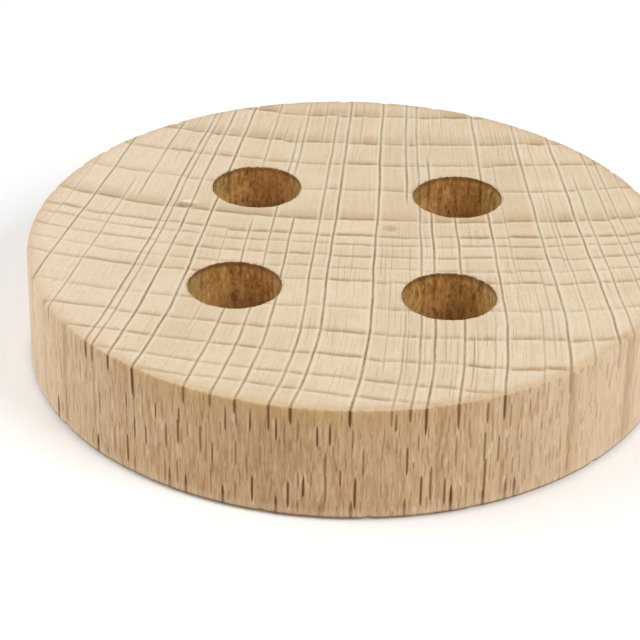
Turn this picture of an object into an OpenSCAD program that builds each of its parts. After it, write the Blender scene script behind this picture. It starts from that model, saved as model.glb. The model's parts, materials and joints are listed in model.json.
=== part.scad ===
// Four-hole wooden button: one turned disc with its rim sanded round and four drilled sewing holes.
// The button lies on its back face, with the origin at the centre of that face and +Z out of the front.

/* [Disc] */
// Diameter of the disc
button_d = 60; // [42:0.5:120]
// Thickness from the back face to the front face
button_t = 11; // [4:0.5:30]

/* [Sewing holes] */
// Diameter of each drilled hole
hole_d = 8.5; // [2:0.1:14]
// Distance between the centres of neighbouring holes
hole_pitch = 19.4; // [12:0.1:32]

/* [Sanded edges] */
// Radius of the round along the rim of both faces
rim_round = 0.45; // [0.1:0.05:3]
// Radius of the round at the mouth of each hole, on both faces
mouth_round = 0.2; // [0.05:0.05:1.5]

/* [Hidden] */
$fn = 96;
button_r = button_d / 2;
hole_r = hole_d / 2;
// How far a drilling cutter runs past the face it leaves through
overcut = 1;

// Half of the disc's section, from its axis out to the rim
module disc_section() {
    square([button_r - rim_round, button_t]);
    translate([0, rim_round])
        square([button_r, button_t - 2 * rim_round]);
    for (corner_z = [rim_round, button_t - rim_round])
        translate([button_r - rim_round, corner_z])
            circle(r = rim_round);
}

module turned_disc() {
    rotate_extrude()
        disc_section();
}

// Half of the section that rounds a hole's mouth: it starts as wide as the hole,
// one radius under the face, and flares along a quarter circle to the face
module mouth_section() {
    difference() {
        square([hole_r + mouth_round, mouth_round + overcut]);
        translate([hole_r + mouth_round, 0])
            circle(r = mouth_round);
    }
}

// The rounded mouth of a hole in the front face
module front_mouth() {
    translate([0, 0, button_t - mouth_round])
        rotate_extrude()
            mouth_section();
}

// One hole, drilled through along Z and eased at both faces
module sewing_hole() {
    translate([0, 0, -overcut])
        cylinder(d = hole_d, h = button_t + 2 * overcut);
    front_mouth();
    translate([0, 0, button_t])
        mirror([0, 0, 1])
            front_mouth();
}

// The four holes stand at the corners of a square about the middle of the disc
module sewing_holes() {
    for (side_x = [-1, 1], side_y = [-1, 1])
        translate([side_x * hole_pitch / 2, side_y * hole_pitch / 2, 0])
            sewing_hole();
}

module button() {
    color("burlywood")
        difference() {
            turned_disc();
            sewing_holes();
        }
}

button();
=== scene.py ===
# %% [markdown]
# # A four-hole wooden button
# This lesson dresses one turned beech button. The disc is cut across the trunk, so both faces show
# end grain: growth rings as gentle bands, and the wood's rays as fine dark lines that run out from
# the pith. The rim and the drilled holes cut along the trunk, so the same rays show there as short
# upright spindles. One solid pattern, worked out from where the pith lies, explains all of them.

# %% Load the measured part
import json
import math

import bpy
import numpy as np
from mathutils import Matrix, Vector


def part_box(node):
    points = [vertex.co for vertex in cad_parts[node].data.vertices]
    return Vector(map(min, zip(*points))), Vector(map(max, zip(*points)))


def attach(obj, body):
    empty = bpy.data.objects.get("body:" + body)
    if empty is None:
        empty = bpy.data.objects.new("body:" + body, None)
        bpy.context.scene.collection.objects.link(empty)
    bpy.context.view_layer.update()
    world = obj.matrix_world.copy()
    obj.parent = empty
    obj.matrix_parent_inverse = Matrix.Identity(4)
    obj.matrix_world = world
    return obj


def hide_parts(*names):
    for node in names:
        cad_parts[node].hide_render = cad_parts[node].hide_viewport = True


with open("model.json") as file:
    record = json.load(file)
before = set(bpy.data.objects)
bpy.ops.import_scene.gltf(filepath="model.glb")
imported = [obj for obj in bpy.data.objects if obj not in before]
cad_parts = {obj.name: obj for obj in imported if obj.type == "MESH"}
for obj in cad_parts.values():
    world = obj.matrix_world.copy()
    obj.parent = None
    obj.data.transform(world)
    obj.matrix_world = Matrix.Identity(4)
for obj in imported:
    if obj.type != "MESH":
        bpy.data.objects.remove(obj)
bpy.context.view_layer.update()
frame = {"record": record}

MM = 0.001
low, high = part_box("button")
button_r = (high.x - low.x) / 2 / MM
button_t = (high.z - low.z) / MM
holes = [mount for mount in frame["record"]["mounts"] if mount["kind"] == "bore"]
hole_r = holes[0]["dims"]["r_mm"]
hole_offset = abs(holes[0]["pos_m"][0]) / MM
print(f"disc {2 * button_r:.1f} x {button_t:.1f} mm, {len(holes)} holes of {2 * hole_r:.1f} mm")

# %% [markdown]
# ## A little unevenness
# Nothing that was sanded by hand is perfectly even, and end grain crumbles into small nicks at its
# edge. A sum of a few sine waves with seeded phases gives a smooth line that closes on itself after
# one turn, which is what a worn edge needs, and the highest crests of a second, finer sum are the
# nicks. Noise modifiers could do this too, but here each edge gets its own seed from one formula.

# %% Wavering edges


def waver(angle, seed, waves):
    """Sum of sine waves round one turn, scaled to run from about -1 to 1: each wave has a seeded
    phase, and a height that falls with the square root of its number of turns."""
    rng = np.random.default_rng(seed)
    turns = np.array(waves)
    phase = rng.uniform(0, 2 * np.pi, len(turns))
    height = 1 / np.sqrt(turns)
    return (np.sin(angle[..., None] * turns + phase) * height).sum(-1) / height.sum()


RIM_ROUND = 0.36
RIM_ROUND_CHANGE = 0.16
RIM_WAVES = (2, 3, 5, 9, 14, 23, 37, 58)
NICK = 0.8
NICK_WAVES = (41, 59, 77, 101, 124)
NICK_RARITY = 0.3
NICK_SEED_STEP = 50


def rim_round(angle, seed):
    """Radius of the sanded round along the rim, in mm, at each angle round the disc. Where a second
    wave rises above NICK_RARITY the edge is nicked, and its round is wider."""
    nick = np.clip(waver(angle, seed + NICK_SEED_STEP, NICK_WAVES) - NICK_RARITY, 0, None)
    return RIM_ROUND + RIM_ROUND_CHANGE * waver(angle, seed, RIM_WAVES) + NICK * nick


MOUTH_ROUND = 0.2
MOUTH_ROUND_CHANGE = 0.19
MOUTH_WAVES = (2, 3, 7, 11, 17, 26, 37, 46)


def mouth_round(angle, seed):
    """Radius of the broken edge at a hole's mouth, in mm, at each angle round the hole."""
    return MOUTH_ROUND + MOUTH_ROUND_CHANGE * waver(angle, seed, MOUTH_WAVES)


# The back edge was sanded less than the front one
BACK_SHARE = 0.75
FRONT_SEED = 11
BACK_SEED = 12
MOUTH_SEED = 20
sample_turn = np.linspace(0, 2 * np.pi, 721)
front_rounds = rim_round(sample_turn, FRONT_SEED)
print(f"rim round from {front_rounds.min():.2f} to {front_rounds.max():.2f} mm")

# %% [markdown]
# ## The two faces
# A disc with four holes is awkward for a plain polar grid. Each quarter of it holds one hole, and
# every point of the quarter's outline can be seen from the hole's centre. So the quarter is a grid
# of straight spokes: one parameter walks round the outline, the other runs along the spoke from the
# hole's mouth to the outline. Four quarters meet along the two centre lines.

# %% One quarter of a face as spokes
ARC_STEPS = 144
SIDE_STEPS = 56
FRONT_STEPS = 30
BACK_STEPS = 14
# Distance of the extra loops beside each edge, which keep the flat faces flat under smooth shading
EDGE_LOOP = 0.12


def quarter_outline(quarter, seed):
    """Walk round one quarter: out along its first centre line, round the rim where the sanded round
    starts, and back along its second centre line. Gives the points and the angles of the rim part."""
    start = quarter * np.pi / 2
    arc = start + np.linspace(0, np.pi / 2, ARC_STEPS + 1)
    reach = button_r - rim_round(arc, seed) * (BACK_SHARE if seed == BACK_SEED else 1)
    rim = reach[:, None] * np.stack([np.cos(arc), np.sin(arc)], 1)
    share = np.linspace(0, 1, SIDE_STEPS + 1)[:-1, None]
    walk_out = share * rim[:1]
    walk_back = (1 - share[1:]) * rim[-1:]
    return np.concatenate([walk_out, rim, walk_back]), arc


def spoke_shares(length, steps):
    """Shares along a spoke of this length: even steps, with one close loop at each end."""
    even = np.linspace(0, 1, steps - 1)[1:-1, None] + 0 * length
    near = EDGE_LOOP / length
    return np.concatenate([[0 * near], [near], even, [1 - near], [0 * near + 1]])


def hole_centre(quarter):
    """Centre of the hole in this quarter, in mm."""
    middle = (quarter + 0.5) * np.pi / 2
    return hole_offset * math.sqrt(2) * np.array([np.cos(middle), np.sin(middle)])


def quarter_face(quarter, seed, steps):
    """Grid of one quarter: point = hole centre + direction x (mouth radius + share x spoke length)."""
    outline, _ = quarter_outline(quarter, seed)
    spoke = outline - hole_centre(quarter)
    length = np.linalg.norm(spoke, axis=1)
    direction = spoke / length[:, None]
    bearing = np.arctan2(direction[:, 1], direction[:, 0])
    mouth = hole_r + mouth_round(bearing, MOUTH_SEED + 10 * seed + quarter)
    reach = mouth + spoke_shares(length - mouth, steps) * (length - mouth)
    return hole_centre(quarter) + reach[..., None] * direction, bearing


face_grid, _ = quarter_face(0, FRONT_SEED, FRONT_STEPS)
print(f"one quarter of the face: {face_grid.shape[0]} x {face_grid.shape[1]} points")

# %% [markdown]
# ## Marks on the front
# The front face has a small gouge where a sliver of wood was pulled out, with a lip of torn fibre on
# its far side, and a faint dent. They are real hollows, so they are pressed into the mesh and not
# only painted: each is a smooth function of the distance from its middle, taken off the height.

# %% Gouge and dent
GOUGE = {"middle": (-15.85, 5.2), "half": (1.05, 0.6), "depth": 0.2}
LIP = {"middle": (-15.8, 5.92), "half": (0.9, 0.28), "depth": -0.04}
DENT = {"middle": (3.7, 2.5), "half": (0.8, 0.7), "depth": 0.04}


def hollow(points, middle, half, depth):
    """Depth of a smooth hollow: depth x (1 - d2) squared inside an ellipse, where d2 is the squared
    distance from its middle in half-widths, and nothing outside it. A lip has a depth below zero."""
    d2 = (((points - np.array(middle)) / np.array(half)) ** 2).sum(-1)
    return depth * np.clip(1 - d2, 0, None) ** 2


def front_height(points):
    """Height of the front face in mm, with its marks pressed in."""
    return button_t - sum(hollow(points, **mark) for mark in (GOUGE, LIP, DENT))


print(f"gouge {GOUGE['depth']} mm deep, dent {DENT['depth']} mm deep")

# %% [markdown]
# ## Rim and hole walls
# The rim is a profile carried round the disc: a quarter round, a straight side, a quarter round. A
# hole's wall is the same idea turned inside out, and the drill tore its fibres into shallow strips,
# which are waves added to its radius. The number of points round each loop is the same as on the
# faces, so that the loops meet point for point and the skin closes.

# %% Profiles carried round the rim and the holes
ROUND_STEPS = 5
WALL_STEPS = 26
BORE_STEPS = 16
TORN_DEPTH = 0.09
TORN_SEED = 60
TORN_WAVES = (5, 8, 12, 17, 23, 31, 41)
# Turn of the strips along the hole and length over which they come and go, in radians per mm
TORN_TWIST = 0.5
TORN_BREAK = 1.6


def edge_profile(top_round, bottom_round, steps):
    """Profile from the front face to the back: inset from the side and height, both in mm. Each round
    is a quarter circle, and close loops hold the straight part straight."""
    turn = np.linspace(0, np.pi / 2, ROUND_STEPS + 1)[:, None]
    top_inset = top_round * (1 - np.sin(turn))
    top_height = button_t - top_round * (1 - np.cos(turn))
    bottom_inset = bottom_round * (1 - np.cos(turn))
    bottom_height = bottom_round * (1 - np.sin(turn))
    upper = button_t - top_round - EDGE_LOOP
    lower = bottom_round + EDGE_LOOP
    straight = upper + np.linspace(0, 1, steps)[:, None] * (lower - upper)
    inset = np.concatenate([top_inset, 0 * straight, bottom_inset])
    return inset, np.concatenate([top_height, straight, bottom_height])


def rim_skin(quarter):
    """One quarter of the rim: radius = disc radius - inset, at each angle of the rim's arc."""
    _, arc = quarter_outline(quarter, FRONT_SEED)
    back_round = BACK_SHARE * rim_round(arc, BACK_SEED)
    inset, height = edge_profile(rim_round(arc, FRONT_SEED), back_round, WALL_STEPS)
    reach = button_r - inset
    return np.stack([reach * np.cos(arc), reach * np.sin(arc), height], -1)


def torn_fibres(bearing, height, seed):
    """How far the drill tore each point of a hole's wall, from about -1 to 1: waves round the hole,
    each with a seeded phase, a slant, and a strength that comes and goes along the hole. They die
    out at both mouths."""
    rng = np.random.default_rng(seed)
    turns = np.array(TORN_WAVES)
    phase, slant, start = rng.uniform(-np.pi, np.pi, (3, len(turns)))
    along = height[..., None]
    strip = np.sin(bearing[..., None] * turns + TORN_TWIST * slant * along / np.pi + phase)
    strength = 0.5 + 0.5 * np.sin(TORN_BREAK * along + start)
    inside = np.clip(np.minimum(height, button_t - height) / (2 * MOUTH_ROUND) - 1, 0, 1)
    return inside * (strip * strength).sum(-1) / np.sqrt(len(turns))


def bore_skin(quarter):
    """One hole's wall: radius = hole radius + inset, at the bearing of each spoke of the face, with
    torn fibres on it. The bearings of the front and the back differ a little, so the wall turns from
    one to the other."""
    _, front_bearing = quarter_face(quarter, FRONT_SEED, FRONT_STEPS)
    _, back_bearing = quarter_face(quarter, BACK_SEED, BACK_STEPS)
    front = mouth_round(front_bearing, MOUTH_SEED + 10 * FRONT_SEED + quarter)
    back = mouth_round(back_bearing, MOUTH_SEED + 10 * BACK_SEED + quarter)
    inset, height = edge_profile(front, back, BORE_STEPS)
    share = np.clip((button_t - front - height) / (button_t - front - back), 0, 1)
    bearing = front_bearing + share * np.angle(np.exp(1j * (back_bearing - front_bearing)))
    reach = hole_r + inset + TORN_DEPTH * torn_fibres(bearing, height, TORN_SEED + quarter)
    x, y = hole_centre(quarter)
    return np.stack([x + reach * np.cos(bearing), y + reach * np.sin(bearing), height], -1)


rim_points = rim_skin(0)
print(f"one quarter of the rim: {rim_points.shape[0]} x {rim_points.shape[1]} points")

# %% [markdown]
# ## One closed skin
# The grids are joined into a single mesh. Every grid gives its points and its four-sided faces;
# points that fall on the same place, where two grids meet, are merged by sorting them. That leaves a
# closed skin, and counting how often each edge is used proves it.

# %% Join the grids


def grid_faces(rows, columns, first, around=False):
    """Corner numbers of the four-sided faces of a grid of rows x columns points, counted from first.
    A grid that goes right round also joins its last column to its first."""
    row = np.arange(rows - 1)[:, None] * columns
    column = np.arange(columns if around else columns - 1)[None, :]
    after = (column + 1) % columns
    corners = [row + column, row + columns + column, row + columns + after, row + after]
    return first + np.stack(corners, -1).reshape(-1, 4)


class Skin:
    """Collects grids of points, each with a number that says whether it is in a hole."""

    def __init__(self):
        self.points, self.bore, self.faces, self.count = [], [], [], 0

    def add(self, points, bore, around=False, turned=False):
        """Adds one grid; turned reverses its faces."""
        faces = grid_faces(points.shape[0], points.shape[1], self.count, around)
        self.points.append(points.reshape(-1, 3))
        self.bore.append(np.full(points.shape[0] * points.shape[1], bore))
        self.faces.append(faces[:, ::-1] if turned else faces)
        self.count += points.shape[0] * points.shape[1]

    def merged(self, grain=1e-4):
        """Arrays of the whole skin with points on the same place merged; grain is in mm."""
        points = np.concatenate(self.points)
        key = np.round(points / grain).astype(np.int64)
        _, first, back = np.unique(key, axis=0, return_index=True, return_inverse=True)
        faces = back.reshape(-1)[np.concatenate(self.faces)]
        return points[first], np.concatenate(self.bore)[first], faces


skin = Skin()
for quarter in range(4):
    front_plan, _ = quarter_face(quarter, FRONT_SEED, FRONT_STEPS)
    back_plan, _ = quarter_face(quarter, BACK_SEED, BACK_STEPS)
    front_points = np.concatenate([front_plan, front_height(front_plan)[..., None]], -1)
    back_points = np.concatenate([back_plan, 0 * back_plan[..., :1]], -1)
    skin.add(front_points, 0.0, around=True)
    skin.add(back_points, 0.0, around=True, turned=True)
    skin.add(rim_skin(quarter), 0.0)
    skin.add(bore_skin(quarter), 1.0, around=True, turned=True)
points, bore, faces = skin.merged()
edges = np.sort(np.concatenate([faces[:, [a, (a + 1) % 4]] for a in range(4)]), axis=1)
_, uses = np.unique(edges, axis=0, return_counts=True)
print(f"{len(points)} points, {2 * len(faces)} triangles, {(uses != 2).sum()} open edges")

# %% [markdown]
# ## Where the pith lies
# Rings and rays both follow from the pith, the middle of the trunk. It lies far outside the button,
# so the rings are nearly straight here and the rays nearly parallel. Near the front edge the trunk
# leaned a little, and rays and rings turn together. Two numbers then place every point in the wood:
# which ray it lies on and which ring it lies in. Blender could work this out in shader nodes, but
# numpy is easier to read, and the numbers vary so smoothly that the mesh can carry them.

# %% Ray and ring position of every point
PITH = (-2.4, 139.7)
MID_RING = 137.0
LEAN_FROM = -12.0
LEAN = 0.0047
RING_SAG = 0.0010
RING_SAG_MIDDLE = 6.0
RAY_SWAY, RAY_SWAY_SEED, RAY_SWAY_LENGTHS = 0.22, 3, (36, 21, 12, 7)
RING_SWAY, RING_SWAY_SEED, RING_SWAY_LENGTHS = 0.42, 4, (44, 26, 15, 9, 5)


def ripple(x, y, seed, lengths):
    """Slow drift from about -1 to 1 over the plan: a sum of sine waves of these lengths in mm, each
    with a seeded heading and phase, and the long waves the highest."""
    rng = np.random.default_rng(seed)
    length = np.array(lengths)
    heading = rng.uniform(0, np.pi, len(length))
    phase = rng.uniform(0, 2 * np.pi, len(length))
    along = x[..., None] * np.cos(heading) + y[..., None] * np.sin(heading)
    return (np.sin(2 * np.pi * along / length + phase) * length).sum(-1) / length.sum()


def wood_position(x, y):
    """Ray and ring position in mm: the angle round the pith times the radius of the middle ring, and
    the distance from the pith less that radius. Nearer than LEAN_FROM the plan is sheared both ways
    by the same amount first, which turns rays and rings together. A slow drift is added to both."""
    near = np.clip(LEAN_FROM - y, 0, None)
    x_turned, y_turned = x + LEAN * near ** 2, y + 2 * LEAN * near * x
    ray = np.arctan2(x_turned - PITH[0], PITH[1] - y_turned) * MID_RING
    ring = np.hypot(x_turned - PITH[0], PITH[1] - y_turned) - MID_RING
    ring = ring + RING_SAG * (ray - RING_SAG_MIDDLE) ** 2
    ray = ray + RAY_SWAY * ripple(x, y, RAY_SWAY_SEED, RAY_SWAY_LENGTHS)
    return ray, ring + RING_SWAY * ripple(x, y, RING_SWAY_SEED, RING_SWAY_LENGTHS)


ray_mm, ring_mm = wood_position(points[:, 0], points[:, 1])
print(f"rays {ray_mm.min():.1f} to {ray_mm.max():.1f} mm")
print(f"rings {ring_mm.min():.1f} to {ring_mm.max():.1f} mm")

# %% [markdown]
# ## Broad rays
# The broad rays are listed one by one, as a maker would choose a handsome slice: a place, how dark the
# ray is, and where it starts and ends. Each face of the mesh remembers its nearest ray and keeps it
# for all its corners: a number that jumps from one ray to the next must not blend inside a face. Two
# rays can lie close together, so they are dealt out in turn to two sets, and within a set neighbours
# are wider apart than a face.

# %% Places of the broad rays
FAR, NEAR = -40, 40
# Ray position in mm, darkness, and the ring positions where the ray starts and ends
BROAD_RAYS = (
    (-27.2, 0.35, FAR, NEAR), (-25.3, 0.3, FAR, 6), (-23.05, 0.8, FAR, NEAR), (-20.2, 0.55, -5, NEAR),
    (-18.9, 0.7, FAR, -2), (-17.3, 0.25, FAR, -10), (-15.7, 0.85, FAR, NEAR), (-15.05, 0.7, FAR, NEAR),
    (-13.5, 0.95, FAR, NEAR), (-11.2, 1.0, FAR, NEAR), (-9.0, 0.35, 2, 22), (-7.95, 0.75, FAR, -11),
    (-7.0, 0.75, 0, NEAR), (-6.4, 0.4, -21, -16), (-4.98, 0.75, -21, NEAR), (-4.25, 0.75, FAR, -10),
    (-3.15, 0.85, -1, NEAR), (-2.1, 0.5, FAR, -17), (-0.65, 0.85, -24, NEAR), (0.88, 0.95, FAR, NEAR),
    (2.4, 0.4, -24, -17), (4.85, 1.0, FAR, NEAR), (6.3, 0.4, 10, 26), (7.7, 0.9, FAR, -5),
    (7.65, 0.55, 16, NEAR), (8.95, 0.75, FAR, NEAR), (10.05, 0.95, -14, NEAR), (11.9, 0.4, FAR, -20),
    (12.3, 0.85, -3, NEAR), (14.6, 0.45, 16, 28), (15.5, 0.95, FAR, NEAR), (17.0, 0.4, -14, 12),
    (18.2, 0.4, 14, NEAR), (19.0, 0.5, 7, 22), (20.05, 0.95, FAR, NEAR), (21.4, 0.45, -19, 8),
    (21.8, 0.6, -6, NEAR), (23.8, 1.0, FAR, NEAR), (25.05, 0.8, -10, NEAR), (27.0, 0.7, -16, NEAR),
    (28.0, 0.6, -14, NEAR), (29.6, 0.4, FAR, NEAR),
)
RAY_FADE = 1.2
RAY_SEED = 5
# Depth of a ray below the face in mm: a chance part, and a part that grows with its darkness
RAY_DEPTH = (0.5, 1.8)
RAY_DEPTH_BY_DARKNESS = 1.2
# A ray that has ended counts as this much further away, in mm
ENDED_RAY_GAP = 3.0
# The back is another slice of the trunk, so its rays lie a little aside
BACK_SHIFT = 0.8
face_middle = points[faces].mean(1)
face_ray, face_ring = wood_position(face_middle[:, 0], face_middle[:, 1])
corner_ring = ring_mm[faces]


def nearest_rays(rays, seed):
    """For every corner of every face: the place of the face's nearest ray, how dark that ray is here,
    with soft ends, and how deep it runs below the face of the disc before it tapers out."""
    place, dark, start, end = np.array(rays).T
    depth = np.random.default_rng(seed).uniform(*RAY_DEPTH, len(place)) + RAY_DEPTH_BY_DARKNESS * dark
    inside = (face_ring[:, None] > start - RAY_FADE) & (face_ring[:, None] < end + RAY_FADE)
    gap = np.abs(face_ray[:, None] - place) + np.where(inside, 0, ENDED_RAY_GAP)
    pick = gap.argmin(1)[:, None]
    ends = np.minimum(corner_ring - start[pick], end[pick] - corner_ring) / RAY_FADE
    shown = dark[pick] * np.clip(0.5 + ends / 2, 0, 1)
    return np.stack(np.broadcast_arrays(place[pick], shown, depth[pick]), -1)


def mirrored(rays):
    """The same rays turned over for the back of the disc, both ways, and moved aside."""
    return tuple((BACK_SHIFT - place, dark, -end, -start) for place, dark, start, end in rays[::-1])


back_rays = mirrored(BROAD_RAYS)
on_front = (face_middle[:, 2] > button_t / 2)[:, None]
ray_sets = [
    np.where(on_front[..., None], nearest_rays(BROAD_RAYS[part::2], RAY_SEED + part),
             nearest_rays(back_rays[part::2], RAY_SEED + 2 + part))
    for part in range(2)
]
print(f"{len(BROAD_RAYS)} broad rays dealt out to two sets")

# %% [markdown]
# ## Panels between the rays
# Two broad rays hold a strip of wood between them, here called a panel. Each panel grew a little on
# its own, so its ring lines step aside at the rays and differ in strength, which gives the face its
# look of woven squares. Every face of the mesh gets a chance number for the panel on either side of
# its nearest ray, and the material chooses between the two at the ray itself.

# %% Panels
PANEL_SEED = 8


def panels(rays, seed):
    """For every face: the place of its nearest ray out of all, and a random number from -1 to 1 for
    the panel of wood on either side of it. A panel has the number of the ray on its left."""
    place, _, start, end = np.array(rays).T
    chance = np.random.default_rng(seed).uniform(-1, 1, len(place))
    here = (face_ring[:, None] > start) & (face_ring[:, None] < end)
    pick = np.where(here, np.abs(face_ray[:, None] - place), np.inf).argmin(1)
    to_left = np.where(here & (place < place[pick][:, None]), place, -np.inf).argmax(1)
    return np.stack([place[pick], chance[to_left], chance[pick]], 1)


above_back = (face_middle[:, 2] > EDGE_LOOP)[:, None]
panel_set = np.where(above_back, panels(BROAD_RAYS, PANEL_SEED), panels(back_rays, PANEL_SEED + 1))
print(f"{len(np.unique(panel_set[:, 2]))} panels")

# %% [markdown]
# ## Ring edges
# Each year's growth ends in a thin dark line, and the wood darkens as it leads up to it. The years
# were good and bad, so the rings are wide and narrow. Like the rays, they are listed one by one, and
# each face of the mesh keeps its nearest edge.

# %% Places of the ring edges
# Ring position of each edge in mm, its darkness, and the width of the darker wood that leads up to it
RING_EDGES = (
    (-29.5, 0.8, 2.4), (-23.4, 1.1, 3.4), (-17.1, 1.1, 3.8), (-12.3, 0.85, 1.9), (-6.8, 0.6, 2.0),
    (-0.85, 1.15, 3.2), (2.3, 0.95, 1.2), (3.95, 0.6, 0.8), (6.25, 0.75, 1.1), (8.6, 0.45, 1.0),
    (11.0, 0.8, 1.2), (15.9, 0.45, 1.6), (20.2, 0.8, 1.6), (24.2, 0.9, 1.2), (27.6, 0.7, 1.2),
    (30.2, 0.7, 1.0), (33.5, 0.7, 1.0),
)
edges_in_order = np.array(RING_EDGES)
ring_set = edges_in_order[np.abs(face_ring[:, None] - edges_in_order[:, 0]).argmin(1)]
print(f"{len(RING_EDGES)} ring edges")

# %% [markdown]
# ## The mesh and what it carries
# The skin goes into a Blender mesh in whole arrays. Beside its shape the mesh carries the numbers
# above as attributes, which the material reads by name: one per point, per face or per corner of a
# face. Attributes stay with the surface wherever the piece goes, so the grain never slides. The
# direction of the surface is carried too: whether it cuts across the trunk, and on the rim and in the
# holes whether it cuts the rays square or runs along them.

# %% Make the button


def carry(mesh, name, values, domain="POINT"):
    """Stores one vector per point, face or corner as a named attribute of the mesh."""
    attribute = mesh.attributes.new(name, "FLOAT_VECTOR", domain)
    attribute.data.foreach_set("vector", values.astype(np.float32).ravel())


mesh = bpy.data.meshes.new("turned_button")
mesh.from_pydata((points * MM).tolist(), [], faces.tolist())
mesh.polygons.foreach_set("use_smooth", np.ones(len(faces), bool))
mesh.update()
normals = np.empty(points.size)
mesh.vertices.foreach_get("normal", normals)
normals = normals.reshape(-1, 3)
# Step in mm over which the slope of the ray position is measured
SLOPE_STEP = 0.5
to_east = wood_position(points[:, 0] + SLOPE_STEP, points[:, 1])[0] - ray_mm
to_north = wood_position(points[:, 0], points[:, 1] + SLOPE_STEP)[0] - ray_mm
along_ray = normals[:, 0] * to_north - normals[:, 1] * to_east
slope = np.hypot(to_east, to_north) * np.hypot(*normals[:, :2].T)
square_cut = np.abs(along_ray) / np.maximum(slope, 1e-6)
carry(mesh, "wood", np.stack([ray_mm, ring_mm, points[:, 2]], 1))
carry(mesh, "facing", np.stack([np.abs(normals[:, 2]), square_cut, bore], 1))
carry(mesh, "ray_set_a", ray_sets[0].reshape(-1, 3), "CORNER")
carry(mesh, "ray_set_b", ray_sets[1].reshape(-1, 3), "CORNER")
carry(mesh, "ring_edge", ring_set, "FACE")
carry(mesh, "panel", panel_set, "FACE")
button = bpy.data.objects.new("turned_button", mesh)
bpy.context.scene.collection.objects.link(button)
print(f"button mesh: {len(mesh.vertices)} points, {len(mesh.attributes)} attributes")

# %% [markdown]
# ## Small helpers for shader nodes
# A node tree is easier to read as formulas. Each helper adds one node or a short chain of them and
# gives back its output, so sums and masks can be nested as in ordinary code.

# %% Node helpers


def feed(tree, socket, value):
    """Links an output to the socket, or sets the socket to a number, colour or vector."""
    if isinstance(value, bpy.types.NodeSocket):
        tree.links.new(value, socket)
    else:
        socket.default_value = value


def calc(tree, operation, *values, clamp=False):
    """One Math node."""
    node = tree.nodes.new("ShaderNodeMath")
    node.operation = operation
    node.use_clamp = clamp
    for socket, value in zip(node.inputs, values):
        feed(tree, socket, value)
    return node.outputs[0]


def times(tree, first, *others):
    """Product of all the values."""
    product = first
    for value in others:
        product = calc(tree, "MULTIPLY", product, value)
    return product


def ramp(tree, value, start, end, low=0.0, high=1.0):
    """Smooth step of the value from low at start to high at end."""
    node = tree.nodes.new("ShaderNodeMapRange")
    node.interpolation_type = "SMOOTHSTEP"
    names = ("Value", "From Min", "From Max", "To Min", "To Max")
    for name, part in zip(names, (value, start, end, low, high)):
        feed(tree, node.inputs[name], part)
    return node.outputs["Result"]


def mix(tree, share, first, second):
    """Mixes two colours."""
    node = tree.nodes.new("ShaderNodeMix")
    node.data_type = "RGBA"
    feed(tree, node.inputs["Factor"], share)
    feed(tree, node.inputs[6], first)
    feed(tree, node.inputs[7], second)
    return node.outputs[2]


def layered(tree, colour_below, *layers):
    """Lays tints over a colour, one after the other: each layer is a mask from 0 to 1, the strength of
    the tint where the mask is 1, and the tint."""
    for mask, strength, tint in layers:
        colour_below = mix(tree, times(tree, mask, strength), colour_below, tint)
    return colour_below


def vector(tree, x, y, z):
    """Puts three numbers together as a vector."""
    node = tree.nodes.new("ShaderNodeCombineXYZ")
    for socket, value in zip(node.inputs, (x, y, z)):
        feed(tree, socket, value)
    return node.outputs[0]


def parts(tree, value):
    """Takes a vector apart into three numbers."""
    node = tree.nodes.new("ShaderNodeSeparateXYZ")
    feed(tree, node.inputs[0], value)
    return node.outputs[:3]


def carried(tree, name):
    """The three numbers of the attribute of that name."""
    node = tree.nodes.new("ShaderNodeAttribute")
    node.attribute_name = name
    return parts(tree, node.outputs["Vector"])


def noise(tree, place, scale, detail=2.0, roughness=0.5):
    """Smooth noise from about 0 to 1 at a place in the wood."""
    node = tree.nodes.new("ShaderNodeTexNoise")
    names = ("Vector", "Scale", "Detail", "Roughness")
    for name, value in zip(names, (place, scale, detail, roughness)):
        feed(tree, node.inputs[name], value)
    return node.outputs["Fac"]


def colour(red, green, blue):
    """A colour from its screen values, 0 to 255, as the linear numbers that shaders take."""
    screen = np.array([red, green, blue]) / 255
    linear = np.where(screen <= 0.04045, screen / 12.92, ((screen + 0.055) / 1.055) ** 2.4)
    return (*linear, 1.0)


# %% [markdown]
# ## Lens-shaped flecks
# Where the saw or drill cuts along the trunk, each ray shows as a little upright lens. On the faces
# the finest rays show as short thin lines, which are lenses too, lying along the radius. So one
# group of nodes draws both: it scatters one lens in every cell of an uneven mosaic, each with its own
# size and darkness, and puts out the lens itself and the pale fringe beside it.

# %% The fleck group
# Power of the taper: the higher, the blunter the ends of a lens
LENS_TAPER = 6.0
# Smallest size of a lens and what chance adds to it, as shares of its half length and half width
LENS_LENGTH = (0.4, 0.8)
LENS_GIRTH = (0.55, 0.45)
# Full darkness inside this share of the half width, and the reach of the pale fringe
LENS_CORE = 0.1
LENS_FRINGE = 3.2


def group_socket(group, name, way, value=None):
    """Adds one named number socket to a node group."""
    socket = group.interface.new_socket(name, in_out=way, socket_type="NodeSocketFloat")
    if value is not None:
        socket.default_value = value


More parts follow.
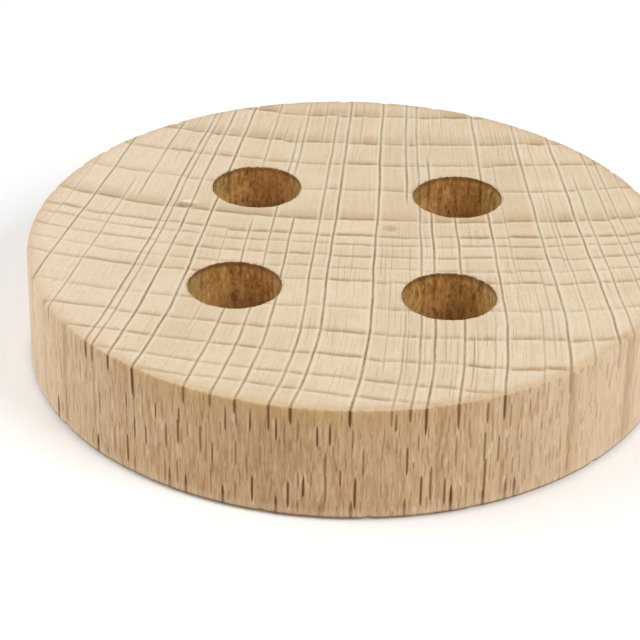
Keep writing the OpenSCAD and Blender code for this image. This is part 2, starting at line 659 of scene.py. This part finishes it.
def make_fleck_group():
    """Lens: half width x (1 - (distance along / half length) to the sixth) against the distance
    across."""
    group = bpy.data.node_groups.new("lens_flecks", "ShaderNodeTree")
    for name, value in (("Across", 0.0), ("Along", 0.0), ("Cell width", 1.0), ("Cell length", 3.0),
                        ("Half width", 0.1), ("Half length", 1.2)):
        group_socket(group, name, "INPUT", value)
    for name in ("Lens", "Fringe", "Chance"):
        group_socket(group, name, "OUTPUT")
    given = group.nodes.new("NodeGroupInput").outputs
    across = calc(group, "DIVIDE", given["Across"], given["Cell width"])
    along = calc(group, "DIVIDE", given["Along"], given["Cell length"])
    mosaic = group.nodes.new("ShaderNodeTexVoronoi")
    mosaic.voronoi_dimensions = "2D"
    mosaic.inputs["Scale"].default_value = 1.0
    group.links.new(vector(group, across, along, 0.0), mosaic.inputs["Vector"])
    middle = parts(group, mosaic.outputs["Position"])
    chance = parts(group, mosaic.outputs["Color"])
    off_across = times(group, calc(group, "SUBTRACT", across, middle[0]), given["Cell width"])
    off_across = calc(group, "ABSOLUTE", off_across)
    off_along = times(group, calc(group, "SUBTRACT", along, middle[1]), given["Cell length"])
    length_share = calc(group, "MULTIPLY_ADD", chance[1], LENS_LENGTH[1], LENS_LENGTH[0])
    share = calc(group, "DIVIDE", off_along, times(group, given["Half length"], length_share))
    power = calc(group, "POWER", calc(group, "ABSOLUTE", share), LENS_TAPER)
    taper = calc(group, "SUBTRACT", 1.0, power, clamp=True)
    girth = calc(group, "MULTIPLY_ADD", chance[1], LENS_GIRTH[1], LENS_GIRTH[0])
    half_width = times(group, given["Half width"], girth, taper)
    lens = ramp(group, off_across, half_width, times(group, half_width, LENS_CORE))
    lens = times(group, lens, calc(group, "GREATER_THAN", taper, 0.02))
    fringe = ramp(group, off_across, times(group, half_width, LENS_FRINGE), half_width)
    fringe = times(group, fringe, calc(group, "SUBTRACT", 1.0, lens), taper)
    taken = group.nodes.new("NodeGroupOutput").inputs
    for name, value in (("Lens", lens), ("Fringe", fringe), ("Chance", chance[0])):
        group.links.new(value, taken[name])
    return group


fleck_group = make_fleck_group()
print(f"fleck group with {len(fleck_group.nodes)} nodes")

# %% [markdown]
# ## Sanded beech
# The material reads the position in the wood and builds up the figure in layers: the bands of the
# rings, the fine rays, the broad rays, and on the rim and in the holes the upright spindles. No line
# in real wood is ruler-straight, so the positions are first nudged by a little smooth noise. It is
# the same at every height, because the lines on the rim must meet those on the face.

# %% Positions in the wood
beech = bpy.data.materials.new("sanded_beech")
beech.use_nodes = True
tree = beech.node_tree
surface = tree.nodes["Principled BSDF"]

ray, ring, height = carried(tree, "wood")
end_grain, square_cut, in_hole = carried(tree, "facing")
below_front = calc(tree, "SUBTRACT", button_t, height)
depth = calc(tree, "MINIMUM", height, below_front)

# Slice of the noise that the lines sway by
SWAY_SLICE = 1.32
# Scale per mm, reach in mm, and a shift that keeps the sway of the rays apart from that of the rings
RAY_NUDGE = (0.5, 0.04, 120.0)
RING_NUDGE = (0.6, 0.21, 40.0)


def sway(scale, reach, shift):
    """A smooth offset of up to reach mm either way over the plan, the same at every height."""
    place = vector(tree, calc(tree, "ADD", ray, shift), ring, SWAY_SLICE)
    centred = calc(tree, "SUBTRACT", noise(tree, place, scale, detail=1.0), 0.5)
    return times(tree, centred, 2 * reach)


def stretched(across, along):
    """Position in the wood scaled across the trunk and along it, both per mm."""
    return vector(tree, times(tree, ray, across), times(tree, ring, across), times(tree, height, along))


ray_here = calc(tree, "ADD", ray, sway(*RAY_NUDGE))
ring_here = calc(tree, "ADD", ring, sway(*RING_NUDGE))
# The figure changes slowly along the trunk
TRUNK_DRIFT = 0.12
slice_place = stretched(1.0, TRUNK_DRIFT)
panel_place, left_panel, right_panel = carried(tree, "panel")
right_side = calc(tree, "GREATER_THAN", ray_here, panel_place)
left_side = calc(tree, "SUBTRACT", 1.0, right_side)
panel = calc(tree, "ADD", times(tree, right_side, right_panel), times(tree, left_side, left_panel))
print("positions read from the mesh")

# %% [markdown]
# ## Growth rings
# A ring has three parts: dense late wood that darkens up to the ring's edge, the thin dark edge, and
# the pale early wood of the next spring just past it. All three are functions of the distance past
# the nearest edge. Each panel shifts and weakens that edge by its own chance number, shuffled anew
# for every ring: a number is multiplied up and only what follows its decimal point is kept.

# %% Bands of the rings
PANEL_STEP = 0.17
PANEL_SHUFFLE, RING_SHUFFLE, STRENGTH_SHUFFLE = 5.7, 1.37, 3.1
# Weakest ring line in a panel, and what chance adds to it
PANEL_STRENGTH = (0.55, 0.7)
# The edge line lies this far before the ring's edge; its half width and its dark core, in mm
EDGE_BEFORE, EDGE_HALF, EDGE_CORE = 0.18, 0.42, 0.05
LATE_POWER = 1.6
EARLY_WIDTH = 0.8
ring_place, ring_dark, ring_lead = carried(tree, "ring_edge")
panel_mix = calc(tree, "MULTIPLY_ADD", panel, PANEL_SHUFFLE, times(tree, ring_place, RING_SHUFFLE))
panel_shift = calc(tree, "MULTIPLY_ADD", calc(tree, "FRACT", panel_mix), 2 * PANEL_STEP, -PANEL_STEP)
panel_chance = calc(tree, "FRACT", times(tree, panel_mix, STRENGTH_SHUFFLE))
panel_strength = calc(tree, "MULTIPLY_ADD", panel_chance, PANEL_STRENGTH[1], PANEL_STRENGTH[0])
past_edge = calc(tree, "SUBTRACT", calc(tree, "ADD", ring_here, panel_shift), ring_place)
before = calc(tree, "LESS_THAN", past_edge, 0.0)
fainter_left = ramp(tree, ray, -25.0, -6.0, 0.68, 1.0)
ring_dark = times(tree, ring_dark, panel_strength, fainter_left)
late_rise = ramp(tree, past_edge, times(tree, ring_lead, -1.0), 0.0)
late_wood = times(tree, calc(tree, "POWER", late_rise, LATE_POWER), before, ring_dark)
from_line = calc(tree, "ABSOLUTE", calc(tree, "ADD", past_edge, EDGE_BEFORE))
edge_patchy = ramp(tree, noise(tree, slice_place, 0.5), 0.25, 0.6, 0.35, 1.0)
edge_line = times(tree, ramp(tree, from_line, EDGE_HALF, EDGE_CORE), ring_dark, edge_patchy)
after = calc(tree, "SUBTRACT", 1.0, before)
early_wood = times(tree, ramp(tree, past_edge, EARLY_WIDTH, EDGE_CORE), after)
print("rings banded")

# %% [markdown]
# ## Lines of the broad rays
# A broad ray is a thin sheet of other cells that stands upright in the trunk. On the face it is a
# dark line with a pale fringe, and it runs over the edge of the face and ends a little below it, as
# it does in the solid wood. A line could be drawn as a curve object, but as a function of the
# distance from the nearest ray it stays part of the wood and costs no mesh.

# %% Draw the broad rays
# Power of the taper below the face: the higher, the blunter the end of the line
RAY_TAPER = 5.0
RAY_GIRTH_BY_DARKNESS = 0.05
RAY_CORE = 0.15
RAY_FRINGE = 2.8


def broad_rays(name):
    """Line and pale fringe of the nearest broad ray of one set. The line narrows with depth below the
    face and ends at the ray's own depth."""
    place, dark, reach = carried(tree, name)
    off = calc(tree, "ABSOLUTE", calc(tree, "SUBTRACT", ray_here, place))
    below = calc(tree, "DIVIDE", depth, reach)
    taper = calc(tree, "SUBTRACT", 1.0, calc(tree, "POWER", below, RAY_TAPER), clamp=True)
    broader_far = ramp(tree, ring, 6.0, -20.0, 0.12, 0.175)
    girth = calc(tree, "MULTIPLY_ADD", dark, RAY_GIRTH_BY_DARKNESS, broader_far)
    half = times(tree, girth, ramp(tree, end_grain, 0.9, 0.3, 1.0, 1.1), taper)
    line = ramp(tree, off, half, times(tree, half, RAY_CORE))
    fringe = ramp(tree, off, times(tree, half, RAY_FRINGE), half)
    return times(tree, line, dark, ramp(tree, taper, 0.0, 0.12)), times(tree, fringe, dark, taper)


line_a, fringe_a = broad_rays("ray_set_a")
line_b, fringe_b = broad_rays("ray_set_b")
whole_line = calc(tree, "MAXIMUM", line_a, line_b)
ray_fringe = calc(tree, "MAXIMUM", fringe_a, fringe_b)
# Each ray is patchy along its length, and the rays are fainter at the far side and on the right
patch_place = vector(tree, times(tree, ray, 4.0), ring, times(tree, height, TRUNK_DRIFT))
ray_patchy = ramp(tree, noise(tree, patch_place, 0.3, 1.0), 0.3, 0.65, 0.72, 1.0)
ray_broken = ramp(tree, noise(tree, patch_place, 1.5, 2.0), 0.3, 0.6, 0.78, 1.0)
ray_far = ramp(tree, ring, -28.0, -2.0, 0.72, 1.0)
ray_right = ramp(tree, ray, 10.0, 24.0, 1.0, 0.84)
ray_line = times(tree, whole_line, ray_patchy, ray_broken, ray_far, ray_right)
print("broad rays drawn")

# %% [markdown]
# ## Fine rays, spindles and flakes
# Between the broad rays lie thousands of fine ones. Nobody would place them by hand, so the fleck
# group scatters them: along the radius on the faces, upright on the rim. Where the rim runs along
# the rays instead of across them, the rays show broadside, as the wide flakes that beech is known
# for, here a shade browner than the pale wood round them. One table holds the sizes of all kinds.

# %% Scatter the flecks
# Shift that keeps a kind apart from the others, cell size across and along, half width and half
# length, all in mm
FLECKS = {
    "fine ray": (0.0, (0.5, 8.0), (0.105, 4.0)),
    "short ray": (91.7, (0.36, 4.0), (0.08, 1.9)),
    "pale ray": (57.3, (0.5, 6.0), (0.11, 2.8)),
    "spindle": (0.0, (0.9, 3.5), (0.175, 1.6)),
    "small spindle": (31.7, (0.5, 1.9), (0.13, 0.9)),
    "flake": (0.0, (1.5, 4.5), (0.5, 2.1)),
}


def scatter(kind, across, along):
    """Places the fleck group with the sizes of one kind, and gives its lens, fringe and chance."""
    shift, cell, half = FLECKS[kind]
    node = tree.nodes.new("ShaderNodeGroup")
    node.node_tree = fleck_group
    for socket, value in zip(node.inputs, (calc(tree, "ADD", across, shift), along, *cell, *half)):
        feed(tree, socket, value)
    return node.outputs["Lens"], node.outputs["Fringe"], node.outputs["Chance"]


fine_lens, _, fine_chance = scatter("fine ray", ray_here, ring_here)
short_lens, _, short_chance = scatter("short ray", ray_here, ring_here)
pale_lens, _, pale_chance = scatter("pale ray", ray_here, ring_here)
spindle_lens, spindle_fringe, spindle_chance = scatter("spindle", ray_here, height)
small_lens, small_fringe, small_chance = scatter("small spindle", ray_here, height)
flake_lens, _, flake_chance = scatter("flake", height, ring_here)
print(f"{len(FLECKS)} kinds of fleck scattered")

# %% Fine rays on the faces
SHORT_SHARE = 0.7
# The fine rays crowd round one place in the front right of the disc, and at its far side
CROWD_MIDDLE, CROWD_REACH, CROWD_CORE = (14.0, 17.0), 22.0, 4.0
off_ray = calc(tree, "SUBTRACT", ray, CROWD_MIDDLE[0])
off_ring = calc(tree, "SUBTRACT", ring, CROWD_MIDDLE[1])
away2 = calc(tree, "ADD", times(tree, off_ray, off_ray), times(tree, off_ring, off_ring))
away = calc(tree, "SQRT", away2)
near_crowd = ramp(tree, away, CROWD_REACH, CROWD_CORE, 0.28, 1.0)
far_crowd = ramp(tree, ring, -4.0, -16.0, 0.0, 0.6)
crowd_patchy = ramp(tree, noise(tree, slice_place, 0.13, 1.0), 0.35, 0.65, 0.5, 1.15)
crowd = times(tree, calc(tree, "MAXIMUM", near_crowd, far_crowd), crowd_patchy)
dark_lens = calc(tree, "MAXIMUM", times(tree, fine_lens, fine_chance),
                 times(tree, short_lens, short_chance, SHORT_SHARE))
fine_ray = times(tree, dark_lens, crowd)
pale_ray = times(tree, pale_lens, crowd, pale_chance)
print("fine rays drawn")

# %% Spindles and flakes on the walls
square = ramp(tree, square_cut, 0.65, 1.0)
away_from_face = ramp(tree, depth, 0.15, 0.7)
spindle_dark = times(tree, ramp(tree, spindle_chance, 0.2, 0.95, 0.05, 1.0), away_from_face, square)
spindle = times(tree, spindle_lens, spindle_dark)
spindle_pale = times(tree, spindle_fringe, spindle_dark)
small_spindle = times(tree, small_lens, small_chance, ramp(tree, square_cut, 0.35, 0.95))
small_pale = times(tree, small_fringe, ramp(tree, square_cut, 0.2, 0.5))
flake = times(tree, flake_lens, flake_chance, ramp(tree, square_cut, 0.42, 0.12))
print("spindles and flakes drawn")

# %% [markdown]
# ## Colour of the end grain
# Sanded end grain of beech is a pale straw colour. The layers go on from the broadest to the finest,
# as a painter would work: soft blotches, the paler wood on the left, the panels, the rings, a fine
# mottle, and the rays last. Each layer is a mask, a strength and a tint.

# %% Layers of the end grain
PALE_FACE = colour(244, 224, 192)
LATE_FACE = colour(207, 179, 141)
RING_LINE = colour(172, 140, 99)
EARLY_FACE = colour(248, 231, 203)
SAP_FACE = colour(249, 228, 203)
FINE_RAY = colour(182, 152, 114)
FRINGE = colour(247, 232, 206)
TONE_SHUFFLE = 7.3
blotch = noise(tree, slice_place, 0.16, 2.0)
panel_tone = calc(tree, "FRACT", times(tree, panel, TONE_SHUFFLE))
mottle = noise(tree, vector(tree, times(tree, ray, 2.2), ring, height), 1.6, 4.0, 0.65)
end_colour = layered(
    tree, PALE_FACE,
    (ramp(tree, blotch, 0.32, 0.68), 0.27, LATE_FACE),
    (ramp(tree, ray, -8.0, -24.0), 0.75, SAP_FACE),
    (panel_tone, 0.2, LATE_FACE),
    (late_wood, 0.84, LATE_FACE),
    (edge_line, 0.68, RING_LINE),
    (early_wood, 0.5, EARLY_FACE),
    (ramp(tree, mottle, 0.40, 0.72), 0.26, LATE_FACE),
    (fine_ray, 0.85, FINE_RAY),
    (pale_ray, 0.6, FRINGE),
    (ray_fringe, 0.6, FRINGE),
)
print("end grain coloured")

# %% [markdown]
# ## Tan band, torn wood, and painted shade and highlight in the gouge
# Handling and sanding leave the face a little browner in a narrow band beside the rim. The gouge and
# the dent also differ in colour from the wood around them. The gouge's hollow is painted dark, as
# painted shade over torn fibre, and its lip pale, as a painted highlight on torn fibre; the dent is
# coloured darker. These follow the shape of the disc and not the grain, so they read Object
# coordinates.

# %% Tan band beside the rim
EDGE_TAN = colour(212, 179, 136)
east, north, _ = parts(tree, tree.nodes.new("ShaderNodeTexCoord").outputs["Object"])
reach2 = calc(tree, "ADD", times(tree, east, east), times(tree, north, north))
from_rim = calc(tree, "SUBTRACT", button_r, calc(tree, "DIVIDE", calc(tree, "SQRT", reach2), MM))
tan_share = times(tree, ramp(tree, from_rim, 1.6, -0.8), ramp(tree, ray, -22.0, -2.0, 0.6, 1.0),
                  ramp(tree, mottle, 0.3, 0.65, 0.8, 1.1))
end_colour = mix(tree, tan_share, end_colour, EDGE_TAN)
print("edge band tanned")

# %% Torn wood with painted shade and highlight in the gouge, and the darker dent
# Gouge hollow: painted shade over torn fibre. Lip: a painted highlight on torn fibre. Dent: coloured
# darker
GOUGE_TORN_AND_SHADE = colour(162, 139, 106)
LIP_TORN_AND_HIGHLIGHT = colour(252, 236, 206)
DENT_DARKER = colour(172, 138, 96)
on_front_side = calc(tree, "GREATER_THAN", height, button_t / 2)


def spot(middle, half):
    """Soft ellipse on the front face: 1 in its middle, 0 from its edge outwards; all in mm."""
    x = calc(tree, "DIVIDE", calc(tree, "SUBTRACT", east, middle[0] * MM), half[0] * MM)
    y = calc(tree, "DIVIDE", calc(tree, "SUBTRACT", north, middle[1] * MM), half[1] * MM)
    d2 = calc(tree, "ADD", times(tree, x, x), times(tree, y, y))
    return times(tree, ramp(tree, d2, 1.0, 0.1), on_front_side)


# The dent is coloured darker
dent_darkening = times(tree, spot(DENT["middle"], (0.95, 0.8)), ramp(tree, mottle, 0.3, 0.6, 0.35, 1.0))
end_colour = layered(
    tree, end_colour,
    # Painted shade in the gouge's hollow and a painted highlight on its lip, over the colour of torn
    # fibre
    (spot((-16.05, 5.15), (1.25, 0.55)), 0.75, GOUGE_TORN_AND_SHADE),
    (spot((-15.83, 5.95), (1.1, 0.36)), 1.0, LIP_TORN_AND_HIGHLIGHT),
    (dent_darkening, 0.55, DENT_DARKER),
)
print("torn wood coloured")

# %% [markdown]
# ## Colour of the long grain
# The rim shows the wood along the trunk. Where it cuts the rays square, in front and behind, it is a
# warm brown full of fine upright fibre and dark spindles. Where it runs along the rays, at the two
# sides, it is paler, streaked and flaked. How square the cut is blends the one into the other.

# %% Layers of the long grain
SIDE_WOOD = colour(190, 153, 113)
SIDE_LATE = colour(173, 133, 91)
SIDE_PALE = colour(220, 188, 148)
FLAKE_WOOD = colour(236, 215, 186)
SPINDLE = colour(92, 50, 2)
DASH = colour(146, 105, 58)
UNDER_EDGE = colour(195, 159, 103)
# Share by which the fibre is evened out to the plain side wood
EVENED_OUT = 0.55
# How square the cut is where the rim starts to pale, and over how much of it
FLAKE_FROM, FLAKE_SPAN = 0.98, 0.44
fibre = noise(tree, stretched(6.5, 0.7), 0.55, 4.0, 0.6)
dash = noise(tree, stretched(3.4, 0.5), 1.0, 1.5, 0.5)
less_square = calc(tree, "SUBTRACT", FLAKE_FROM, square_cut)
flake_share = calc(tree, "DIVIDE", less_square, FLAKE_SPAN, clamp=True)
streak = times(tree, ramp(tree, noise(tree, stretched(2.4, 0.1), 1.0, 3.0), 0.5, 0.7), flake_share)
dash_dark = times(tree, ramp(tree, dash, 0.58, 0.72), ramp(tree, square_cut, 0.6, 0.95, 0.3, 0.55))
below_edge = times(tree, ramp(tree, below_front, 2.4, 0.5), ramp(tree, square_cut, 0.85, 1.0))
fibre_colour = mix(tree, ramp(tree, fibre, 0.35, 0.68), SIDE_LATE, SIDE_PALE)
side_colour = layered(
    tree, mix(tree, EVENED_OUT, fibre_colour, SIDE_WOOD),
    (flake_share, 0.8, FLAKE_WOOD),
    (streak, 0.4, SIDE_WOOD),
    (late_wood, 0.4, SIDE_LATE),
    (edge_line, 0.35, DASH),
    (early_wood, 0.35, SIDE_PALE),
    (ramp(tree, dash, 0.42, 0.28), 0.4, FLAKE_WOOD),
    (dash_dark, 1.0, DASH),
    (small_spindle, 0.7, DASH),
    (small_pale, 0.25, SIDE_PALE),
    (flake, 0.45, SIDE_WOOD),
    (spindle_pale, 0.4, SIDE_PALE),
    (spindle, 0.97, SPINDLE),
    (below_edge, 0.5, UNDER_EDGE),
)
print("long grain coloured")

# %% [markdown]
# ## Colour of the drilled walls
# A drill heats the wood and tears it, so the holes are a deep orange brown with pale torn fibre and
# dark scorched strips. The wall is painted paler half way down, as painted light that offsets the
# shade deep in the hole, and it is darker towards the mouths, with a thin line of painted shade just
# inside each mouth. Noise that is stretched along the trunk makes the strips, and a finer one the
# scuffs.

# %% Layers of the drilled walls
BORE_SQUARE = colour(203, 144, 78)
BORE_FLAKE = colour(202, 172, 108)
# Also the painted light half way down the holes, which offsets the shade there
BORE_PALE = colour(238, 194, 128)
BORE_DARK = colour(156, 106, 51)
# Also the colour of the painted shade line just inside each mouth
BORE_TORN_AND_SHADE = colour(86, 52, 20)
strips = noise(tree, stretched(1.1, 0.25), 1.0, 3.0, 0.65)
torn = noise(tree, stretched(2.0, 0.62), 1.0, 4.0, 0.64)
scuff = noise(tree, stretched(3.4, 2.0), 1.0, 3.0, 0.65)
tear = ramp(tree, noise(tree, stretched(0.35, 0.12), 1.0, 1.0), 0.42, 0.58, 0.35, 1.0)
torn_pale = times(tree, ramp(tree, torn, 0.47, 0.35), tear)
torn_dark = times(tree, ramp(tree, torn, 0.54, 0.64), tear)
bore_colour = layered(
    tree, mix(tree, ramp(tree, square_cut, 0.95, 0.3), BORE_SQUARE, BORE_FLAKE),
    (ramp(tree, depth, 4.0, 0.2), 0.4, BORE_DARK),
    # Painted light: paler half way down, offsetting the shade that falls deep in the hole
    (ramp(tree, depth, 1.2, 4.5), 0.4, BORE_PALE),
    (ramp(tree, strips, 0.44, 0.62), 0.42, BORE_DARK),
    (torn_pale, 0.55, BORE_PALE),
    (torn_dark, 0.5, BORE_TORN_AND_SHADE),
    (ramp(tree, scuff, 0.47, 0.33), 0.42, BORE_PALE),
    (ramp(tree, scuff, 0.53, 0.67), 0.45, BORE_TORN_AND_SHADE),
    # Painted shade: a thin dark line just inside each mouth
    (ramp(tree, depth, 0.7, 0.2), 0.6, BORE_TORN_AND_SHADE),
    (spindle, 0.4, BORE_TORN_AND_SHADE),
)
print("drilled walls coloured")

# %% [markdown]
# ## Putting the finish together
# The direction of the surface chooses between end grain and long grain, with a ragged border, since
# fibres break off unevenly at an edge. The broad rays come last, so that they run unbroken over that
# border, and the lowest edge of the rim gets a thin band of painted shade in place of a contact
# shadow. The same masks then drive roughness and a shallow bump: rays are a little smoother and lie
# a little lower than the wood between them.

# %% Faces, walls and edges
RAY_LINE = colour(150, 115, 68)
EDGE_WOOD = colour(222, 190, 150)
# Painted shade: colour of a dark band along the lowest edge of the rim, in place of its contact shadow
CONTACT_SHADE_PAINT = colour(84, 66, 42)
RAGGED = 0.95
ragged = times(tree, calc(tree, "SUBTRACT", noise(tree, stretched(2.6, 0.2), 1.0, 2.0), 0.5), RAGGED)
face_share = ramp(tree, calc(tree, "ADD", end_grain, ragged), 0.4, 0.92)
wall_colour = mix(tree, ramp(tree, in_hole, 0.2, 0.8), side_colour, bore_colour)
arris = times(tree, ramp(tree, end_grain, 0.55, 0.85), ramp(tree, end_grain, 0.995, 0.93))
side_line = times(
    tree, calc(tree, "SUBTRACT", 1.0, face_share), whole_line,
    ramp(tree, in_hole, 0.2, 0.8, 1.0, 0.5),
    ramp(tree, square_cut, 0.35, 0.75, 0.05, 1.0),
    ramp(tree, ray, 14.0, 22.0, 1.0, 0.35),
)
rubbed = times(tree, ramp(tree, height, 1.3, 0.5), ramp(tree, end_grain, 0.5, 0.2))
# Painted shade along the lowest edge of the rim, standing in for the contact shadow on the floor
painted_contact_shade = times(tree, ramp(tree, height, 0.4, 0.1), ramp(tree, end_grain, 0.98, 0.8))
wood_colour = layered(
    tree, mix(tree, face_share, wall_colour, end_colour),
    (arris, 0.25, EDGE_WOOD),
    (face_share, ray_line, RAY_LINE),
    (side_line, 1.0, SPINDLE),
    (rubbed, 0.2, FLAKE_WOOD),
    (painted_contact_shade, 0.85, CONTACT_SHADE_PAINT),
)
feed(tree, surface.inputs["Base Color"], wood_colour)
print("colours put together")

# %% Roughness and relief
DULL = 0.66
SMOOTHER_RAYS = -0.12
ROUGHER_MOTTLE = 0.12
TORN_RELIEF = -6.0
dull = calc(tree, "MULTIPLY_ADD", ray_line, SMOOTHER_RAYS, DULL)
feed(tree, surface.inputs["Roughness"], calc(tree, "MULTIPLY_ADD", mottle, ROUGHER_MOTTLE, dull))
surface.inputs["Specular IOR Level"].default_value = 0.3
sunk = calc(tree, "ADD", ray_line, times(tree, calc(tree, "MAXIMUM", spindle, fine_ray), 0.6))
relief = calc(tree, "SUBTRACT", times(tree, fibre, 0.5), sunk)
torn_relief = times(tree, calc(tree, "ADD", torn, strips), in_hole, TORN_RELIEF)
bump = tree.nodes.new("ShaderNodeBump")
bump.inputs["Strength"].default_value = 0.5
bump.inputs["Distance"].default_value = 0.03 * MM
feed(tree, bump.inputs["Height"], calc(tree, "ADD", relief, torn_relief))
feed(tree, surface.inputs["Normal"], bump.outputs["Normal"])
button.data.materials.append(beech)
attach(button, "root")
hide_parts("button")
print(f"beech material with {len(tree.nodes)} nodes")

# %% [markdown]
# ## Floor
# The button lies on a white sweep. A floor that only glows would lose the button's soft shadow, so it
# is an ordinary matt surface. Its white counts for more with the camera alone, so that its lit parts
# come out white without more light on the button.

# %% White sweep
FLOOR_HALF = 1.5
FLOOR_HEIGHT = -0.2
FLOOR_WHITE = 0.9
FLOOR_LIFT = 0.28
floor_mesh = bpy.data.meshes.new("floor")
floor_plan = FLOOR_HALF * np.array([(-1, -1), (1, -1), (1, 1), (-1, 1)])
floor_mesh.from_pydata([(x, y, FLOOR_HEIGHT * MM) for x, y in floor_plan.tolist()], [], [(0, 1, 2, 3)])
floor = bpy.data.objects.new("floor", floor_mesh)
bpy.context.scene.collection.objects.link(floor)
paper = bpy.data.materials.new("white_sweep")
paper.use_nodes = True
paper_tree = paper.node_tree
paper_tree.nodes.clear()
seen = paper_tree.nodes.new("ShaderNodeLightPath").outputs
level = calc(paper_tree, "MULTIPLY_ADD", seen["Is Camera Ray"], FLOOR_LIFT, FLOOR_WHITE)
matt = paper_tree.nodes.new("ShaderNodeBsdfDiffuse")
paper_tree.links.new(vector(paper_tree, level, level, level), matt.inputs["Color"])
paper_out = paper_tree.nodes.new("ShaderNodeOutputMaterial")
paper_tree.links.new(matt.outputs[0], paper_out.inputs["Surface"])
floor_mesh.materials.append(paper)
print(f"floor {2 * FLOOR_HALF:.0f} m across")

# %% [markdown]
# ## Light
# White surroundings give an even light from all sides. A broad lamp on the right is the main light,
# and a weaker, broader one on the left keeps that side of the rim from going dull: between them the
# front of the rim is the darkest part, which makes the disc look round. The camera sees the
# surroundings as plain white, and so would anything shiny.

# %% Surroundings and lamps
SKY = 0.48
world = bpy.data.worlds.new("white_room")
bpy.context.scene.world = world
world.use_nodes = True
sky_tree = world.node_tree
sky = sky_tree.nodes["Background"]
sky.inputs["Color"].default_value = (1.0, 1.0, 1.0, 1.0)
way = sky_tree.nodes.new("ShaderNodeLightPath").outputs
shiny = calc(sky_tree, "MAXIMUM", way["Is Glossy Ray"], way["Is Transmission Ray"])
direct = calc(sky_tree, "MAXIMUM", way["Is Camera Ray"], shiny)
feed(sky_tree, sky.inputs["Strength"], calc(sky_tree, "MULTIPLY_ADD", direct, 1.0 - SKY, SKY))


def lamp(name, place, size, watts):
    """A square area lamp at a place in metres that faces the middle of the button."""
    light = bpy.data.lights.new(name, "AREA")
    light.size = size
    light.energy = watts
    lit = bpy.data.objects.new(name, light)
    lit.location = place
    lit.rotation_euler = (-Vector(place)).to_track_quat("-Z", "Y").to_euler()
    bpy.context.scene.collection.objects.link(lit)


lamp("key_right", (0.41, -0.25, 0.36), 0.30, 1.65)
lamp("fill_left", (-0.44, -0.07, 0.25), 0.40, 1.15)
print("two lamps and white surroundings")

# %% [markdown]
# ## Camera
# The camera looks down at the front of the button with a long lens from close by, and the disc runs
# out of the frame on the right. Its place is a point on a sphere round the middle of the front face;
# three small turns then aim it.

# %% Place and aim the camera
LENS = 144.5
SENSOR = 36.0
DISTANCE = 0.2401
AZIMUTH, ELEVATION = math.radians(3.5), math.radians(28.49)
PAN, TILT, ROLL = math.radians(-0.618), math.radians(1.823), math.radians(-1.302)
camera_data = bpy.data.cameras.new("camera")
camera_data.sensor_width = SENSOR
camera_data.lens = LENS
camera_data.clip_start = 0.01
camera = bpy.data.objects.new("camera", camera_data)
bpy.context.scene.collection.objects.link(camera)
aim = Matrix.Rotation(AZIMUTH, 4, "Z") @ Matrix.Rotation(math.pi / 2 - ELEVATION, 4, "X")
middle = Matrix.Translation((0, 0, button_t * MM))
back = Matrix.Translation((0, 0, DISTANCE))
turn = Matrix.Rotation(-PAN, 4, "Y") @ Matrix.Rotation(-TILT, 4, "X") @ Matrix.Rotation(-ROLL, 4, "Z")
camera.matrix_world = middle @ aim @ back @ turn
bpy.context.scene.camera = camera
bpy.context.scene.view_settings.view_transform = "Standard"
print(f"camera at {[round(v, 4) for v in camera.location]}")
